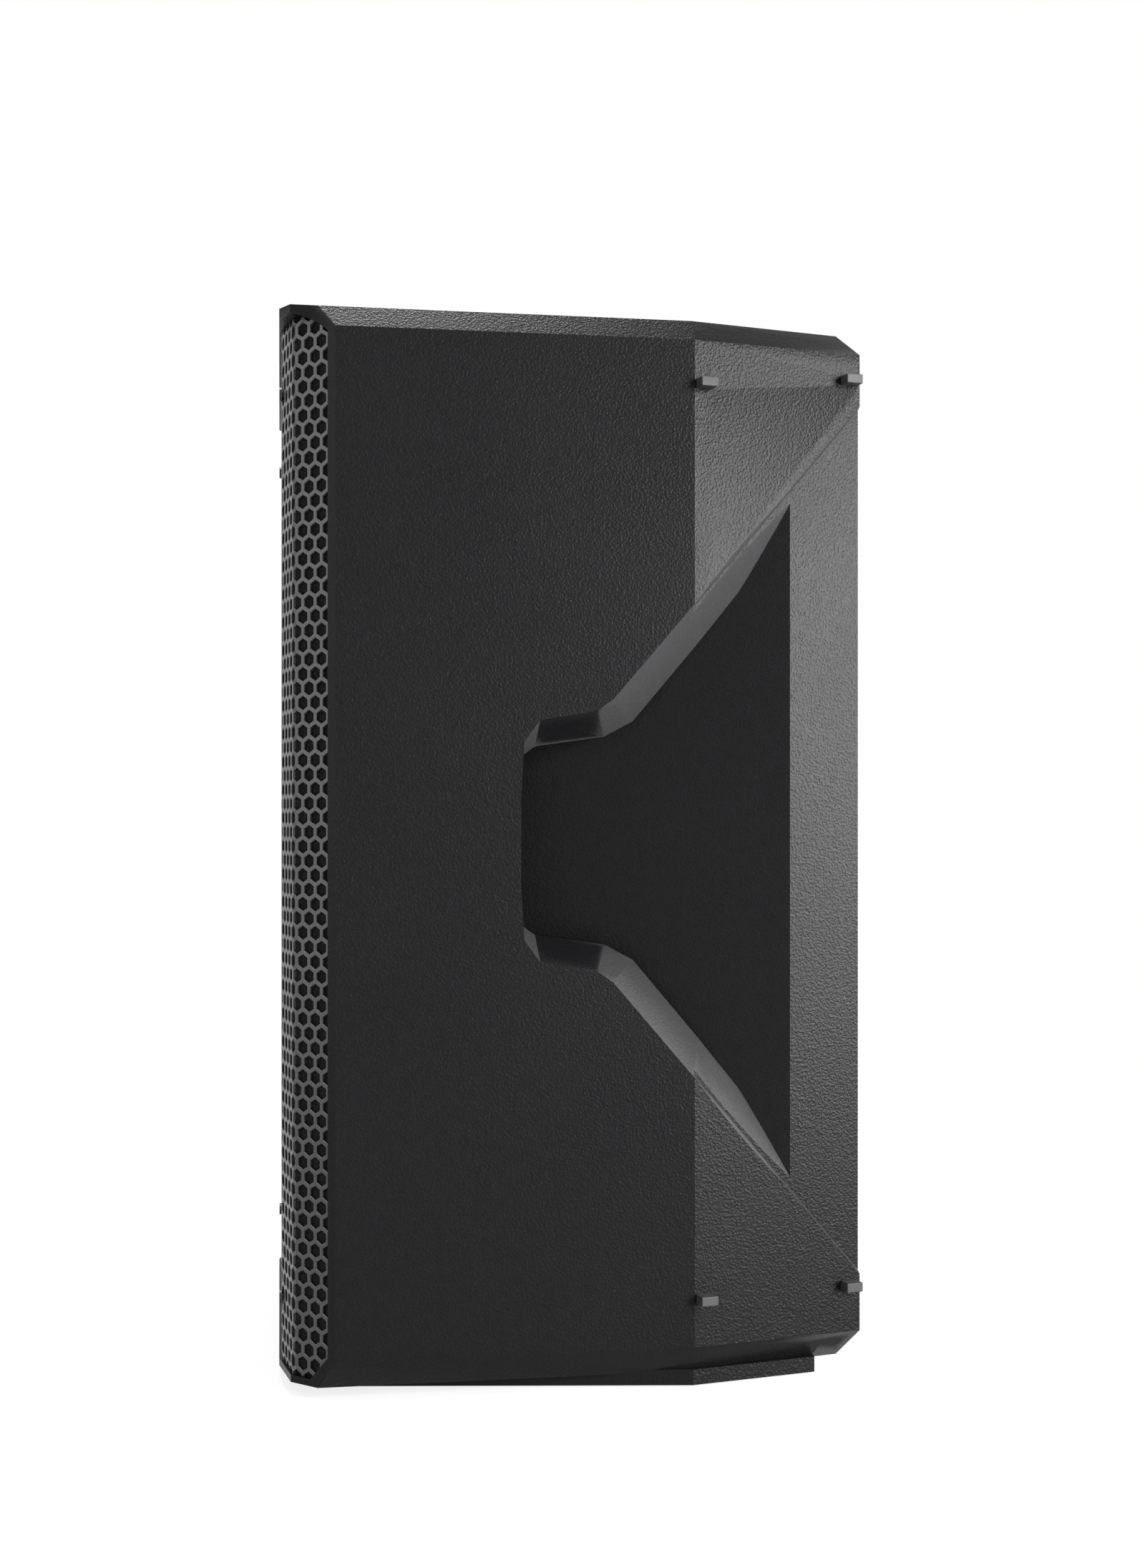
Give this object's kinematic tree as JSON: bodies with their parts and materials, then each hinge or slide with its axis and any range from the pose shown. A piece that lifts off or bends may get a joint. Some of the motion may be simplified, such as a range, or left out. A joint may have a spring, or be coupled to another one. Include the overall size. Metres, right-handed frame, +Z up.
{
  "type": "pa speaker cabinet",
  "caption": "Powered loudspeaker cabinet in a moulded tub with a perforated steel front, side hand grips, pole socket and rear amplifier panel.",
  "frame": {"origin": "middle of the footprint, on the surface that the rubber feet stand on", "axes": "+Z up, -Y out of the perforated front, +X to the viewer's right when facing the front"},
  "size_m": [0.3804, 0.34, 0.615],
  "materials": {
    "moulded_tub": "moulded black plastic with a fine leather grain",
    "rubber": "black rubber",
    "grille_steel": "black powder coat on perforated steel",
    "foam": "open-cell foam",
    "black_screws": "black oxide",
    "bright_screws": "bright plating",
    "baffle_board": "black moulded baffle",
    "cast_frame": "black coated casting",
    "plated_steel": "zinc plated steel",
    "ferrite": "ferrite",
    "paper_cone": "pressed paper pulp",
    "copper_coil": "copper wire on a former",
    "spider_cloth": "impregnated cloth",
    "horn_plastic": "smooth black moulding",
    "panel_paint": "fine textured black paint",
    "sink_aluminium": "black anodised fins",
    "board": "glass fibre board",
    "transformer_wrap": "polyester tape",
    "socket_plastic": "satin black plastic",
    "control_plastic": "soft black plastic",
    "button_plastic": "grey plastic",
    "lamp_lens": "green lens"
  },
  "bodies": {
    "cabinet": {"cabinet_shell": "moulded_tub", "grip_cup_right": "moulded_tub", "grip_cup_left": "moulded_tub", "monitor_pads_right": "rubber", "monitor_pads_left": "rubber", "rubber_feet": "rubber", "grille": "grille_steel", "grille_foam": "foam", "grille_screws": "black_screws", "front_baffle": "baffle_board", "woofer_basket": "cast_frame", "woofer_gasket": "rubber", "woofer_surround": "rubber", "woofer_spider": "spider_cloth", "woofer_top_plate": "plated_steel", "woofer_magnet": "ferrite", "woofer_back_plate": "plated_steel", "woofer_bolts": "black_screws", "horn_flare": "horn_plastic", "horn_screws": "black_screws", "compression_driver": "ferrite", "compression_driver_cap": "horn_plastic", "port_tube_right": "horn_plastic", "port_tube_left": "horn_plastic", "amp_panel": "panel_paint", "amp_panel_gasket": "rubber", "amp_panel_screws": "black_screws", "heat_sink": "sink_aluminium", "amp_board": "board", "board_standoffs": "bright_screws", "toroidal_transformer": "transformer_wrap", "combo_input_1": "socket_plastic", "combo_input_2": "socket_plastic", "mix_output": "socket_plastic", "mix_output_pins": "bright_screws", "potentiometers": "socket_plastic", "button_switches": "socket_plastic", "mains_inlet": "socket_plastic", "mains_inlet_pins": "bright_screws", "switch_frame": "socket_plastic", "power_lamp": "lamp_lens", "pole_socket": "socket_plastic", "pole_socket_screws": "bright_screws", "rigging_inserts": "plated_steel", "acoustic_wadding": "foam"},
    "cone_assembly": {"woofer_cone": "paper_cone", "dust_cap": "paper_cone", "voice_coil": "copper_coil"},
    "gain_knob_1": {"gain_knob_1": "control_plastic"},
    "gain_knob_2": {"gain_knob_2": "control_plastic"},
    "master_knob": {"master_knob": "control_plastic"},
    "line_button_1": {"line_button_1": "button_plastic"},
    "line_button_2": {"line_button_2": "button_plastic"},
    "contour_button": {"contour_button": "button_plastic"},
    "latch_tab_1": {"latch_tab_1": "button_plastic"},
    "latch_tab_2": {"latch_tab_2": "button_plastic"},
    "power_rocker": {"power_rocker": "control_plastic"}
  },
  "joints": [
    {"name": "cone_stroke", "type": "slide", "parent": "cabinet", "child": "cone_assembly", "axis": [0, -1, 0], "range_m": [-0.006, 0.006], "stiffness_N_per_m": 3000, "deforming": ["woofer_surround", "woofer_spider"]},
    {"name": "gain_knob_1_turn", "type": "hinge", "parent": "cabinet", "child": "gain_knob_1", "pos_m": [0.05, 0.1555, 0.265], "axis": [0, 1, 0], "range_deg": [-150, 150]},
    {"name": "gain_knob_2_turn", "type": "hinge", "parent": "cabinet", "child": "gain_knob_2", "pos_m": [0, 0.1555, 0.265], "axis": [0, 1, 0], "range_deg": [-150, 150]},
    {"name": "master_knob_turn", "type": "hinge", "parent": "cabinet", "child": "master_knob", "pos_m": [-0.05, 0.1555, 0.265], "axis": [0, 1, 0], "range_deg": [-150, 150]},
    {"name": "line_button_1_press", "type": "slide", "parent": "cabinet", "child": "line_button_1", "axis": [0, -1, 0], "range_m": [0, 0.0025], "stiffness_N_per_m": 400},
    {"name": "line_button_2_press", "type": "slide", "parent": "cabinet", "child": "line_button_2", "axis": [0, -1, 0], "range_m": [0, 0.0025], "stiffness_N_per_m": 400},
    {"name": "contour_button_press", "type": "slide", "parent": "cabinet", "child": "contour_button", "axis": [0, -1, 0], "range_m": [0, 0.0025], "stiffness_N_per_m": 400},
    {"name": "latch_tab_1_press", "type": "slide", "parent": "cabinet", "child": "latch_tab_1", "axis": [0, 0, -1], "range_m": [0, 0.0015], "stiffness_N_per_m": 400},
    {"name": "latch_tab_2_press", "type": "slide", "parent": "cabinet", "child": "latch_tab_2", "axis": [0, 0, -1], "range_m": [0, 0.0015], "stiffness_N_per_m": 400},
    {"name": "power_rocker_tilt", "type": "hinge", "parent": "cabinet", "child": "power_rocker", "pos_m": [0.022, 0.151, 0.142], "axis": [1, 0, 0], "range_deg": [-12, 0]}
  ]
}
